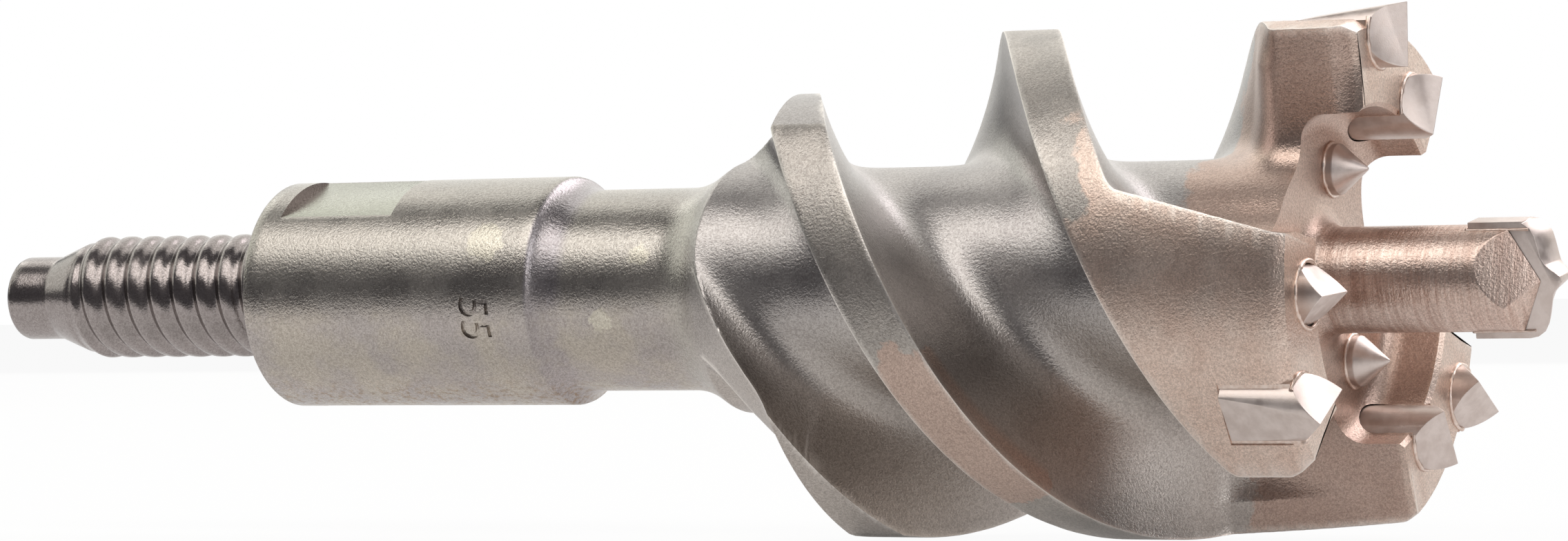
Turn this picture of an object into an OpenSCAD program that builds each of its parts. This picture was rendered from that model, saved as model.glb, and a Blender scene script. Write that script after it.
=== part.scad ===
// Screw-on hammer drill head with three helical flutes, a three-arm crown of brazed
// carbide teeth and a centring pilot. The tool lies along +X, tip forward, +Z up.
// The origin is the centre of the collar's rear face, which seats on the drill tube.

/* [Cutting sizes] */
// Cutting diameter over the outer teeth
cut_d = 55; // [50:0.5:66]
// Height of the outer teeth above the steel lands
tooth_proud = 1.5; // [1:0.1:2]
// Length from the neck's end to the crown's front face
head_l = 75; // [66:0.5:96]
// Diameter of the core at the bottom of the flutes
core_d = 25; // [23:0.5:27]

/* [Flutes] */
// Advance of a flute in one full turn
flute_lead = 86; // [80:1:110]
// Angle that a land spans over its helical length
land_arc = 26; // [20:0.5:32]
// Radius where a land's trailing wall meets the core
trail_root_r = 4.5; // [3:0.5:6]
// Radius where a land's leading wall meets the core
lead_root_r = 6.5; // [4:0.5:7]
// Angle from the outer tooth to its arm's trailing side
arm_trail = 17; // [15:0.5:20]
// Angle from the outer tooth to its arm's leading side
arm_lead = 42; // [40:0.5:44]
// Distance behind the crown face where the trailing side runs straight
trail_straight = 8.7; // [6:0.1:12]
// Distance behind the crown face where the leading side runs straight
lead_straight = 18.6; // [15:0.1:22]
// Shift of the circle that a land's tail is rounded off to
tail_shift = 8.3; // [5:0.1:10]
// Direction of that shift, ahead of the point where the rounding starts
tail_turn = 60; // [45:1:75]

/* [Crown] */
// Width of the front face, from the bowl to the lands
rim_w = 8.8; // [8:0.1:10]
// Depth of the bowl round the pilot
bowl_depth = 6.5; // [4:0.5:8]
// Radius between the bowl's floor and its wall
bowl_round = 2.5; // [1:0.5:3.5]
// Bevel between the front face and the lands
rim_bevel = 1; // [0.4:0.1:1.5]
// Length of the bevel on each arm's trailing edge
edge_bevel_l = 2.6; // [1:0.1:4]
// Width of the bevel on each arm's trailing edge
edge_bevel_w = 1.5; // [0.5:0.1:1.6]

/* [Carbide teeth] */
// Diameter of an outer tooth
outer_d = 6.5; // [5.8:0.1:7]
// Length of an outer tooth behind its ridge
outer_l = 10.5; // [9:0.1:14]
// Height of an outer tooth's ridge above the front face
outer_stand = 3; // [2:0.1:3.2]
// Back taper of an outer tooth's ground side, in degrees
outer_taper = 7; // [0:0.5:8]
// Fall of an outer tooth's ground side towards its trailing edge, in degrees
outer_relief = 7; // [0:0.5:10]
// Diameter of an inner tooth
inner_d = 6.5; // [5.6:0.1:7]
// Length of an inner tooth behind its ridge
inner_l = 9.4; // [8.5:0.1:13]
// Height of an inner tooth's ridge above the front face
inner_stand = 2.8; // [2:0.1:3.1]
// Angle from an outer tooth to its inner tooth
inner_turn = 26; // [25:0.5:28]
// Distance of an inner tooth's axis outside the bowl's wall
inner_inset = 2.1; // [1.6:0.1:2.6]
// Diameter of the circle that the pin teeth stand on
pin_ring_d = 23; // [21.5:0.5:24]
// Diameter of a conical pin tooth
pin_d = 5.2; // [4:0.1:5.6]
// Height of a pin tooth's point above the bowl's floor
pin_stand = 3.9; // [3.4:0.1:5]
// Depth of a pin tooth in its hole
pin_seat = 5; // [4:0.5:7]
// Angle from an outer tooth to its pin tooth
pin_turn = 15.5; // [12:0.5:18]
// Point angle of a pin tooth
pin_point = 80; // [70:1:100]

/* [Pilot] */
// Diameter of the pilot post
pilot_d = 10.6; // [9:0.1:12]
// Reach of the pilot's point beyond the front face
pilot_reach = 19.2; // [15:0.1:24]
// Root radius of the pilot post
pilot_root = 2.6; // [1:0.1:3]
// Height of the carbide plate above the post, on each side
plate_proud = 0.5; // [0.3:0.1:1]
// Thickness of the carbide plate
plate_t = 3; // [2.4:0.1:3.6]
// Length of the carbide plate, from its point to its foot
plate_l = 9.3; // [8:0.1:11]
// Turn of the carbide plate about the axis
plate_turn = 10; // [0:1:30]

/* [Collar and neck] */
// Diameter of the collar
collar_d = 24.4; // [24:0.1:28]
// Length of the collar
collar_l = 35.1; // [28:0.1:50]
// Width across the spanner flats
flat_w = 22; // [21:0.5:23]
// Length of the spanner flats
flat_l = 14; // [10:0.5:18]
// Distance of the spanner flats from the seating face
flat_start = 3; // [2:0.5:6]
// Turn of the spanner flats about the axis
flat_turn = 21.4; // [0:0.1:90]
// Diameter of the neck
neck_d = 21.4; // [20.4:0.1:22]
// Length of the neck, from the collar to the flare
neck_l = 16.9; // [14:0.1:30]
// Radius that lifts the neck into the flare
neck_round = 10; // [6:0.5:14]
// Slope of the flare between the neck and the shoulder
flare_slope = 32; // [26:1:36]
// Length of the flare
flare_l = 12.9; // [10:0.1:14]
// Slope of the shoulder that ends the lands
shoulder_slope = 59; // [50:1:70]

/* [Threaded spigot] */
// Diameter over the rope thread
thread_d = 13.5; // [12:0.1:16]
// Depth of the rope thread
thread_depth = 0.65; // [0.4:0.05:0.8]
// Advance of the rope thread in one turn
thread_lead = 6; // [5:0.5:8]
// Number of thread starts
thread_starts = 2; // [1:1:3]
// Length of the threaded stretch
thread_l = 27; // [20:0.5:36]
// Diameter of the pilot nose
nose_d = 9.2; // [8:0.1:10.5]
// Length of the pilot nose
nose_l = 5.6; // [4:0.1:9]
// Length of the cone between the nose and the thread
nose_cone_l = 4; // [3:0.5:6]

/* [Brazed joints] */
// Thickness of the braze between carbide and steel
braze_t = 0.15; // [0.1:0.05:0.2]
// Width of the braze bead round each mouth
bead_w = 0.45; // [0.3:0.05:0.6]

/* [Hidden] */

$fn = 96;
arms = 3;
arm_step = 360 / arms;
over = 3;

steel_colour = [0.55, 0.47, 0.42];
carbide_colour = [0.72, 0.66, 0.63];
braze_colour = [0.80, 0.68, 0.55];

// Stations along the axis, from the seating face
neck_end = collar_l + neck_l;
crown_z = neck_end + head_l;
floor_z = crown_z - bowl_depth;
tip_z = crown_z + pilot_reach;
nose_z = -thread_l - nose_cone_l - nose_l;

// Radii of the turned blank
land_r = cut_d / 2 - tooth_proud;
core_r = core_d / 2;
neck_r = neck_d / 2;
collar_r = collar_d / 2;
pilot_r = pilot_d / 2;
bowl_r = land_r - rim_w;
flare_r = neck_r + flare_l * tan(flare_slope);
shoulder_foot = neck_end + flare_l;
shoulder_end = shoulder_foot + (land_r - flare_r) / tan(shoulder_slope);

// Cove that takes the collar down to the neck
cove_l = 2.9;
cove_drop = collar_r - neck_r;
cove_r = (cove_l * cove_l + cove_drop * cove_drop) / (2 * cove_drop);
cove_sweep = asin(cove_l / cove_r);

// Seats of the teeth
outer_pos = cut_d / 2 - outer_d / 2;
inner_pos = bowl_r + inner_inset;
pin_pos = pin_ring_d / 2;
outer_top = crown_z + outer_stand;
inner_top = crown_z + inner_stand;
pin_top = floor_z + pin_stand;
plate_r = pilot_r + plate_proud;
bead_top = 0.05;

// Small bevels of the turned blank
nose_bevel = 0.4;
bowl_bevel = 0.3;

// Flute section: samples along the flute and across it
twist = 360 / flute_lead;
flute_rings = 42;
flute_back = neck_end - neck_round / 2;
flute_front = crown_z + over;
flank_steps = 7;
floor_steps = 4;
lid_steps = 7;
lid_r = land_r + over;
edge_r = land_r + 0.4;
facet_depth = 4;
facet_r = land_r - facet_depth;
lead_drift = 0.6;
lead_flare = 2.4;
trail_blend = 2;
lead_blend = 3;
trail_morph = [15, 8];
lead_morph = [lead_straight + 2, 6];

// Sector of a land's tail that is rounded off, in degrees, and its margin along the axis
tail_ahead = 8;
tail_behind = -70;
tail_margin = 1.5;

// Points of an arc, its centre and radius given, from angle a to angle b
function arc(cx, cy, r, a, b, steps = 8) =
    [for (i = [0:steps]) let(t = a + (b - a) * i / steps) [cx + r * cos(t), cy + r * sin(t)]];

function mix(a, b, t) = a + (b - a) * t;
function ease(t) = let(u = min(1, max(0, t))) u * u * (3 - 2 * u);

// Straight ramp that starts softly: zero before -b, the identity after b
function soft_ramp(d, b) = d <= -b ? 0 : d >= b ? d : (d + b) * (d + b) / (4 * b);

// Moves the tool's own frame, axis up and angle 0 on top, to its place along X
module along_tool() {
    rotate([0, 90, 0])
        rotate([0, 0, 180])
            children();
}

// Puts a child at an angle round the axis, a distance from it and a station along it
module seat(angle, radius, z) {
    rotate([0, 0, angle])
        translate([radius, 0, z])
            children();
}

// The turned blank

function nose_profile() = [
    [0, nose_z],
    [nose_d / 2 - nose_bevel, nose_z],
    [nose_d / 2, nose_z + nose_bevel],
    [nose_d / 2, nose_z + nose_l],
    [thread_d / 2 - thread_depth, -thread_l],
    [thread_d / 2 - thread_depth, 0]
];

function neck_profile() = concat(
    [[collar_r, 0], [collar_r, collar_l]],
    arc(neck_r + cove_r, collar_l + cove_l, cove_r, 180 + cove_sweep, 180, 6),
    arc(neck_r + neck_round, neck_end - neck_round * tan(flare_slope / 2), neck_round,
        180, 180 - flare_slope, 6)
);

function shoulder_profile() = [
    [flare_r, shoulder_foot],
    [land_r, shoulder_end],
    [land_r, crown_z - rim_bevel],
    [land_r - rim_bevel, crown_z]
];

function bowl_profile() = concat(
    [[bowl_r + bowl_bevel, crown_z], [bowl_r, crown_z - bowl_bevel]],
    arc(bowl_r - bowl_round, floor_z + bowl_round, bowl_round, 0, -90, 6),
    arc(pilot_r + pilot_root, floor_z + pilot_root, pilot_root, -90, -180, 6)
);

module blank() {
    rotate_extrude()
        polygon(concat(
            nose_profile(),
            neck_profile(),
            shoulder_profile(),
            bowl_profile(),
            [[pilot_r, tip_z], [0, tip_z]]
        ));
}

// Rope thread: a round-crested ridge, wound on the spigot's core

thread_sides = 24;
thread_pitch = thread_lead / thread_starts;
thread_rings = round(thread_l / thread_pitch * 6);

function thread_phase(z, angle) = 360 * z / thread_pitch - thread_starts * angle;
function thread_fade(z) = ease((z + thread_l) / thread_pitch);
function thread_radius(z, angle) =
    thread_d / 2 - thread_depth
    + thread_depth * thread_fade(z) * (1 - pow((1 + cos(thread_phase(z, angle))) / 2, 2));

function thread_ring(z) = [
    for (i = [0:thread_sides - 1])
        let(a = 360 * i / thread_sides, r = thread_radius(z, a))
        [r * cos(a), r * sin(a), z]
];

// Faces of a closed skin over rings that each have n points
function skin_faces(rings, n) = concat(
    [[for (i = [n - 1:-1:0]) i]],
    [for (k = [0:rings - 2]) for (i = [0:n - 1])
        let(a = k * n + i, b = k * n + (i + 1) % n) [a, b, b + n]],
    [for (k = [0:rings - 2]) for (i = [0:n - 1])
        let(a = k * n + i, b = k * n + (i + 1) % n) [a, b + n, a + n]],
    [[for (i = [0:n - 1]) (rings - 1) * n + i]]
);

module rope_thread() {
    stations = [for (k = [0:thread_rings]) -thread_l + (thread_l + 1) * k / thread_rings];
    polyhedron(
        points = [for (z = stations) each thread_ring(z)],
        faces = skin_faces(len(stations), thread_sides)
    );
}

// Helical flutes that turn straight between the crown's arms

// Angle of the trailing edge of the top arm's land at a station
function trail_angle(z) =
    arm_trail - twist * soft_ramp(crown_z - trail_straight - z, trail_blend);

function helix_lead_angle(z) =
    arm_trail - twist * (crown_z - trail_straight - z) - land_arc;

// Angle of the leading edge, which drifts on along the arm after its bend
function lead_angle(z) =
    let(drifted = -arm_lead + lead_flare - lead_drift * (crown_z - z))
    drifted - soft_ramp(drifted - helix_lead_angle(z), lead_blend);

// Fillet of radius r between a radial wall and the core, as [angle from the wall, radius]
function root_point(t, r) =
    let(turn = asin(r / (core_r + r)),
        a = -90 - (90 - turn) * t,
        x = (core_r + r) * cos(turn) + r * cos(a),
        y = r + r * sin(a))
    [atan2(y, x), norm([x, y])];

// One side of a flute: the land's edge, the foot of its facet, then the radial wall's fillet
function flute_side(j, edge, wall, turn, r) =
    j == 0 ? [edge, edge_r]
    : j == 1 ? [wall, facet_r]
    : let(p = root_point((j - 2) / (flank_steps - 2), r)) [wall + turn * p[0], p[1]];

// A wall follows its land's edge on the helix and stands still between the crown's arms
function morph(z, span) = ease((z - crown_z + span[0]) / span[1]);

function trail_side(j, z) =
    let(edge = trail_angle(z))
    flute_side(j, edge, mix(edge, arm_trail, morph(z, trail_morph)), 1, trail_root_r);

function lead_side(j, z) =
    let(edge = lead_angle(z) + arm_step, still = arm_step - arm_lead)
    flute_side(j, edge, mix(edge, still, morph(z, lead_morph)), -1, lead_root_r);

function polar(p, z) = [p[1] * cos(p[0]), p[1] * sin(p[0]), z];

function flute_ring(z) =
    let(a0 = trail_side(flank_steps, z), a1 = lead_side(flank_steps, z),
        e0 = trail_side(0, z), e1 = lead_side(0, z))
    [for (p = concat(
        [for (j = [0:flank_steps]) trail_side(j, z)],
        [for (j = [1:floor_steps - 1]) [mix(a0[0], a1[0], j / floor_steps), core_r]],
        [for (j = [flank_steps:-1:0]) lead_side(j, z)],
        [for (j = [0:lid_steps]) [mix(e1[0], e0[0], j / lid_steps), lid_r]]
    )) polar(p, z)];

module flute() {
    stations = [for (k = [0:flute_rings]) mix(flute_back, flute_front, k / flute_rings)];
    polyhedron(
        points = [for (z = stations) each flute_ring(z)],
        faces = skin_faces(len(stations), len(flute_ring(crown_z)))
    );
}

// The tail of a land is rounded off to a circle that is shifted from the axis and meets
// the land where its trailing edge reaches the shoulder. Only this sector of it is cut.
tail_angle = trail_angle(shoulder_end);
tail_r = norm([land_r - tail_shift * cos(tail_turn), tail_shift * sin(tail_turn)]);
tail_front = shoulder_end + land_arc / twist + tail_margin;

module tail_rounding() {
    rotate([0, 0, tail_angle])
        translate([0, 0, shoulder_foot - tail_margin])
            difference() {
                linear_extrude(tail_front - shoulder_foot + tail_margin)
                    polygon([
                        [0, 0],
                        2 * cut_d * [cos(tail_ahead), sin(tail_ahead)],
                        2 * cut_d * [cos(tail_behind), sin(tail_behind)]
                    ]);
                translate([tail_shift * cos(tail_turn), tail_shift * sin(tail_turn), -over])
                    cylinder(r = tail_r, h = tail_front - shoulder_foot + tail_margin + 2 * over);
            }
}

// Shapes shared by teeth, holes and braze

// Half space under two ground slopes that meet in a radial ridge
module roof(d, l) {
    rotate([0, 90, 0])
        rotate([0, 0, -45])
            translate([0, 0, -d])
                cube([2 * l, 2 * l, 2 * d]);
}

module chisel_tooth(d, l) {
    intersection() {
        translate([0, 0, -l])
            cylinder(d = d, h = l + d);
        roof(d, l + d);
    }
}

// What is ground off an outer tooth's side to bring it to the cutting diameter
module ground_side() {
    translate([outer_d / 2, 0, 0])
        rotate([0, outer_taper, 0])
            rotate([0, 0, outer_relief])
                translate([0, -outer_l, -2 * outer_l])
                    cube([outer_d, 2 * outer_l, 4 * outer_l]);
}

pin_cone = pin_d / 2 / tan(pin_point / 2);

module pointed_pin() {
    translate([0, 0, -pin_cone])
        cylinder(d1 = pin_d, d2 = 0, h = pin_cone);
    translate([0, 0, -pin_stand - pin_seat])
        cylinder(d = pin_d, h = pin_stand + pin_seat - pin_cone);
}

// Blind hole for a tooth, larger than it by the braze. An open one is a slot in the land.
module tooth_hole(d, l, open = false) {
    wide = d + 2 * braze_t;
    translate([0, 0, -l - braze_t]) {
        cylinder(d = wide, h = l + braze_t + over);
        if (open)
            translate([0, -wide / 2, 0])
                cube([d, wide, l + braze_t + over]);
    }
}

// Braze in a blind hole, with its bead on the face at the mouth
module tooth_braze(d, l, mouth, open = false) {
    difference() {
        union() {
            intersection() {
                tooth_hole(d, l, open);
                translate([0, 0, -mouth - 2 * l])
                    cylinder(r = d, h = 2 * l);
            }
            translate([0, 0, -mouth])
                cylinder(r1 = d / 2 + bead_w, r2 = d / 2 + bead_top, h = bead_w);
        }
        translate([0, 0, -l])
            cylinder(d = d, h = l + over);
    }
}

// Front outline of the plate in shares of its half width: [out from the axis, behind the point]
plate_front = [[1, 0.62], [0.95, 0.45], [0.81, 0.29], [0.62, 0.23], [0.38, 0.19], [0.2, 0.13], [0.06, 0]];
plate_foot = tip_z - plate_l;

function plate_half(side) = concat(
    [[side * plate_r, plate_foot]],
    [for (p = plate_front) [side * plate_r * p[0], tip_z - plate_r * p[1]]]
);

module plate() {
    left = plate_half(-1);
    outline = concat(plate_half(1), [for (i = [len(left) - 1:-1:0]) left[i]]);
    rotate([0, 0, plate_turn])
        rotate([90, 0, 0])
            translate([0, 0, -plate_t / 2])
                linear_extrude(plate_t)
                    polygon(outline);
}

// Slot in the post's end, which the plate fills with braze on both sides
module plate_slot() {
    rotate([0, 0, plate_turn])
        translate([-pilot_d, -plate_t / 2 - braze_t, plate_foot - braze_t])
            cube([2 * pilot_d, plate_t + 2 * braze_t, plate_l + over]);
}

// Two planes are ground on the post's end on each side of the plate, as a point is.
// Each has a slope, a direction in which it falls, and a height on the axis.
gash = [55.3, 66.4, tip_z];
relief = [37.1, 123.1, tip_z - 1];

module ground_away(plane) {
    rotate([0, 0, plane[1]])
        translate([0, 0, plane[2]])
            rotate([0, plane[0], 0])
                translate([-4 * pilot_d, -2 * pilot_d, 0])
                    cube([8 * pilot_d, 4 * pilot_d, 2 * pilot_d]);
}

module post_grinding() {
    intersection() {
        translate([0, 0, plate_foot - over])
            cylinder(d = 2 * pilot_d, h = plate_l + 2 * over);
        for (side = [0, 180])
            rotate([0, 0, plate_turn + side]) {
                ground_away(gash);
                ground_away(relief);
            }
    }
}

module spanner_flats() {
    for (side = [0, 180])
        rotate([0, 0, flat_turn + side])
            translate([flat_w / 2, -collar_r, flat_start])
                cube([over, 2 * collar_r, flat_l]);
}

// Bevel along the front of each arm's trailing side
module arm_edge_bevel() {
    rotate([0, 0, arm_trail])
        translate([0, -edge_bevel_w, crown_z])
            rotate([atan2(edge_bevel_w, edge_bevel_l), 0, 0])
                translate([bowl_r - over, 0, -4 * edge_bevel_l])
                    cube([rim_w + 2 * over, over, 8 * edge_bevel_l]);
}

// The pieces

module on_arm(k) {
    along_tool()
        rotate([0, 0, k * arm_step])
            children();
}

module outer_seat() {
    seat(0, outer_pos, outer_top)
        children();
}

module inner_seat() {
    seat(-inner_turn, inner_pos, inner_top)
        children();
}

module pin_seat_at() {
    seat(-pin_turn, pin_pos, pin_top)
        children();
}

module drill_body() {
    color(steel_colour)
        along_tool()
            difference() {
                union() {
                    blank();
                    rope_thread();
                }
                for (k = [0:arms - 1])
                    rotate([0, 0, k * arm_step]) {
                        flute();
                        tail_rounding();
                        arm_edge_bevel();
                        outer_seat() tooth_hole(outer_d, outer_l, true);
                        inner_seat() tooth_hole(inner_d, inner_l);
                        pin_seat_at() tooth_hole(pin_d, pin_stand + pin_seat);
                    }
                plate_slot();
                post_grinding();
                spanner_flats();
            }
}

module outer_tooth(k) {
    color(carbide_colour)
        on_arm(k)
            outer_seat()
                difference() {
                    chisel_tooth(outer_d, outer_l);
                    ground_side();
                }
}

module inner_tooth(k) {
    color(carbide_colour)
        on_arm(k)
            inner_seat() chisel_tooth(inner_d, inner_l);
}

module pin_tooth(k) {
    color(carbide_colour)
        on_arm(k)
            pin_seat_at() pointed_pin();
}

module pilot_plate() {
    color(carbide_colour)
        along_tool()
            plate();
}

// Keeps braze within the lands and out of the bowl
module braze_limit() {
    difference() {
        cylinder(r = land_r, h = crown_z + over);
        translate([0, 0, floor_z + bowl_round])
            cylinder(r = bowl_r, h = bowl_depth + over);
    }
}

module outer_braze(k) {
    color(braze_colour)
        on_arm(k)
            intersection() {
                outer_seat() tooth_braze(outer_d, outer_l, outer_stand, true);
                braze_limit();
            }
}

module inner_braze(k) {
    color(braze_colour)
        on_arm(k)
            intersection() {
                inner_seat() tooth_braze(inner_d, inner_l, inner_stand);
                braze_limit();
            }
}

module pin_braze(k) {
    color(braze_colour)
        on_arm(k)
            pin_seat_at() tooth_braze(pin_d, pin_stand + pin_seat, pin_stand);
}

module pilot_braze() {
    color(braze_colour)
        along_tool()
            difference() {
                intersection() {
                    plate_slot();
                    cylinder(r = pilot_r, h = tip_z);
                }
                plate();
                post_grinding();
            }
}

drill_body();
outer_tooth(0);  // outer_tooth_1
outer_tooth(1);  // outer_tooth_2
outer_tooth(2);  // outer_tooth_3
inner_tooth(0);  // inner_tooth_1
inner_tooth(1);  // inner_tooth_2
inner_tooth(2);  // inner_tooth_3
pin_tooth(0);  // pin_tooth_1
pin_tooth(1);  // pin_tooth_2
pin_tooth(2);  // pin_tooth_3
pilot_plate();
outer_braze(0);  // outer_braze_1
outer_braze(1);  // outer_braze_2
outer_braze(2);  // outer_braze_3
inner_braze(0);  // inner_braze_1
inner_braze(1);  // inner_braze_2
inner_braze(2);  // inner_braze_3
pin_braze(0);  // pin_braze_1
pin_braze(1);  // pin_braze_2
pin_braze(2);  // pin_braze_3
pilot_braze();
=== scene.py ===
import math

import bmesh
import bpy
from mathutils import Matrix, Vector
from mathutils.kdtree import KDTree


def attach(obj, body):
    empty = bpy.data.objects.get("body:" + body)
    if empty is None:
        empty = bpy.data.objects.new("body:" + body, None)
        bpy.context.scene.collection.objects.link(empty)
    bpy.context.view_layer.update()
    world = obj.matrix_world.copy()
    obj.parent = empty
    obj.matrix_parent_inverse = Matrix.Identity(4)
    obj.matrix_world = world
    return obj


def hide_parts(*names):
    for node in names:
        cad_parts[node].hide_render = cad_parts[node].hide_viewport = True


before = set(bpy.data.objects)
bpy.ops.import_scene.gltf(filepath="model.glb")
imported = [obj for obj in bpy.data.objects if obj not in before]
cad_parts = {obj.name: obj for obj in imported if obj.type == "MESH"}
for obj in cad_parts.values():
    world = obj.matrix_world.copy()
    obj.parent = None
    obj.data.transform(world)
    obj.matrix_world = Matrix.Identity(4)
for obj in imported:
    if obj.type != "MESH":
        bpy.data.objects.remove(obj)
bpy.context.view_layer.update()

MM = 0.001

# Stations along the axis and radii, in millimetres, as in the part's source. Station 0 is the
# seating face behind the collar.
REAR = -36.6
CROWN = 127.0
TIP = 146.2
FLOOR = 120.5
LAND_R = 26.0
CORE_R = 12.5
BOWL_R = 17.2
COLLAR_R = 12.2
COLLAR_L = 35.1
COVE_L = 2.9
NECK_R = 10.7
NECK_END = 52.0
FLARE_END = 64.9
SHOULDER_END = 69.25
POST_R = 5.3
POST_FOOT = 122.6
POST_ROOT = 2.6
WALL_ROOT = 2.5

# Spanner flats: half their width across, their length, middle and turn
FLAT_R = 11.0
FLAT_L = 14.0
FLAT_MIDDLE = 10.0
FLAT_TURN = 21.4

# Teeth: diameter, distance from the axis, station of the point, length behind it, turn
ARM = 120.0
OUTER_D = 6.5
OUTER_POS = 27.5 - OUTER_D / 2
OUTER_TOP = 130.0
OUTER_L = 10.5
INNER_D = 6.5
INNER_POS = 19.3
INNER_TOP = 129.8
INNER_L = 9.4
INNER_TURN = -26.0
PIN_D = 5.2
PIN_POS = 11.5
PIN_TOP = 124.4
PIN_CONE_L = 3.0
PIN_SHAFT_L = 5.9
PIN_HOLE_L = 8.0
PIN_TURN = -15.5
PLATE_TURN = 10.0
PLATE_T = 3.0
PLATE_L = 9.3
TAPER = math.tan(math.radians(7.0))
RELIEF = math.tan(math.radians(7.0))
BRAZE = 0.15

# Planes ground on the post's end: slope, turn from the plate, station on the axis
POST_PLANES = ((55.3, 66.4, TIP), (37.1, 123.1, TIP - 1.0))

# Stamped figures: size, depth, station of their middle and turn
STAMP_SIZE = 5.2
STAMP_DEPTH = 0.32
STAMP_X = 28.8
STAMP_TURN = 103.4


AHEAD = Vector((1, 0, 0))


def polar(x, r, a):
    """Point at a station x, a radius and an angle in degrees: 0 is up, 90 towards the camera."""
    t = math.radians(a)
    return Vector((x * MM, -r * math.sin(t) * MM, r * math.cos(t) * MM))


def mix(a, b, t):
    """Value at the share t of the way from a to b."""
    return a + (b - a) * t


def ease(t):
    """Smooth step from 0 to 1."""
    u = min(1.0, max(0.0, t))
    return u * u * (3 - 2 * u)


def soft_ramp(d, b):
    """The larger of 0 and d, rounded within b of the corner."""
    return 0.0 if d <= -b else d if d >= b else (d + b) ** 2 / (4 * b)


# Camera, solved from the circles of the tool in the photo: millimetres, degrees and pixels

LOOK_X = 59.73
VIEW_TURN = 27.95
ROLL = 0.80
DISTANCE = 592.0
FOCAL_PX = 8188.0
DROP_PX = 25.1
FRAME_W = 2272.0


def make_camera():
    """The photo's camera: level with the axis, turned to the tool's front and rolled a little."""
    t = math.radians(VIEW_TURN)
    back = Vector((math.sin(t), -math.cos(t), 0.0))
    data = bpy.data.cameras.new("camera")
    data.sensor_width = 36.0
    data.lens = FOCAL_PX / FRAME_W * data.sensor_width
    data.shift_y = DROP_PX / FRAME_W
    cam = bpy.data.objects.new("camera", data)
    bpy.context.scene.collection.objects.link(cam)
    cam.rotation_mode = "QUATERNION"
    cam.location = Vector((LOOK_X * MM, 0, 0)) + back * DISTANCE * MM
    level = (-back).to_track_quat("-Z", "Y")
    roll = Matrix.Rotation(math.radians(-ROLL), 4, "Z").to_quaternion()
    cam.rotation_quaternion = level @ roll
    data.clip_start, data.clip_end = 0.02, 20.0
    bpy.context.scene.camera = cam


make_camera()


# Helpers for shapes and pieces

def linked(name, bm):
    """Puts a bmesh into the scene as an object."""
    mesh = bpy.data.meshes.new(name)
    bm.to_mesh(mesh)
    bm.free()
    obj = bpy.data.objects.new(name, mesh)
    bpy.context.scene.collection.objects.link(obj)
    return obj


def finished(obj, material, smooth_angle, replaces):
    """Gives a piece its shading, its material and its body, and hides the nodes it replaces."""
    mesh = obj.data
    mesh.shade_smooth()
    mesh.set_sharp_from_angle(angle=math.radians(smooth_angle))
    mesh.materials.clear()
    mesh.materials.append(material)
    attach(obj, "root")
    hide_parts(*replaces)
    return obj


def cleaned(bm, dist=0.004):
    """Merges points that lie together and turns the faces outwards."""
    bmesh.ops.remove_doubles(bm, verts=bm.verts, dist=dist * MM)
    bmesh.ops.dissolve_degenerate(bm, dist=dist * MM / 4, edges=bm.edges)
    bmesh.ops.recalc_face_normals(bm, faces=bm.faces)


def skin(rings):
    """A closed skin over rings of points: a grid wrapped round the tool, its seam merged."""
    bm = bmesh.new()
    rows, cols = len(rings), len(rings[0])
    bmesh.ops.create_grid(bm, x_segments=cols, y_segments=rows - 1, size=1.0)
    for v in bm.verts:
        i = round((v.co.x + 1) / 2 * cols) % cols
        j = round((v.co.y + 1) / 2 * (rows - 1))
        v.co = rings[j][i]
    cleaned(bm, 0.001)
    return bm


def carve(obj, cutters, operation="DIFFERENCE"):
    """Cuts a body with others, joins it to them or keeps what they share; they are used up."""
    for cutter in cutters:
        mod = obj.modifiers.new("cut", "BOOLEAN")
        mod.operation = operation
        mod.object = cutter
        mod.solver = "MANIFOLD"
    bpy.context.view_layer.update()
    graph = bpy.context.evaluated_depsgraph_get()
    mesh = bpy.data.meshes.new_from_object(obj.evaluated_get(graph), depsgraph=graph)
    obj.modifiers.clear()
    old = obj.data
    obj.data = mesh
    bpy.data.meshes.remove(old)
    for cutter in cutters:
        data = cutter.data
        bpy.data.objects.remove(cutter)
        bpy.data.meshes.remove(data)


def turned(profile, segments):
    """A body spun round the tool's axis from a half profile of [station, radius] points."""
    bm = bmesh.new()
    verts = [bm.verts.new(polar(x, r, 0)) for x, r in profile]
    edges = [bm.edges.new((v, verts[(i + 1) % len(verts)])) for i, v in enumerate(verts)]
    bmesh.ops.spin(bm, geom=verts + edges, cent=(0, 0, 0), axis=(1, 0, 0),
                   angle=math.tau, steps=segments, use_merge=True)
    cleaned(bm)
    return bm


def rod(d, back, front, segments):
    """Round bar before it is seated: +Z is ahead, and it runs from back to front."""
    bm = bmesh.new()
    bmesh.ops.create_cone(bm, cap_ends=True, cap_tris=False, segments=segments,
                          radius1=d / 2 * MM, radius2=d / 2 * MM, depth=(front - back) * MM)
    bmesh.ops.translate(bm, verts=bm.verts, vec=(0, 0, (front + back) / 2 * MM))
    return bm


def outwards(angle):
    """Direction away from the axis at an angle."""
    t = math.radians(angle)
    return Vector((0, -math.sin(t), math.cos(t)))


def seat(bm, angle, radius, station):
    """Moves a shape made about +Z to its seat: local +Z ahead, local +X outwards."""
    out = outwards(angle)
    place = Matrix((out, AHEAD.cross(out), AHEAD)).transposed().to_4x4()
    place.translation = polar(station, radius, angle)
    bmesh.ops.transform(bm, matrix=place, verts=bm.verts)


def block(size, place):
    """A box of a size, round a place, in millimetres and before it is seated."""
    bm = bmesh.new()
    bmesh.ops.create_cube(bm, size=1.0)
    bmesh.ops.scale(bm, vec=Vector(size) * MM, verts=bm.verts)
    bmesh.ops.translate(bm, verts=bm.verts, vec=Vector(place) * MM)
    return bm


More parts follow.
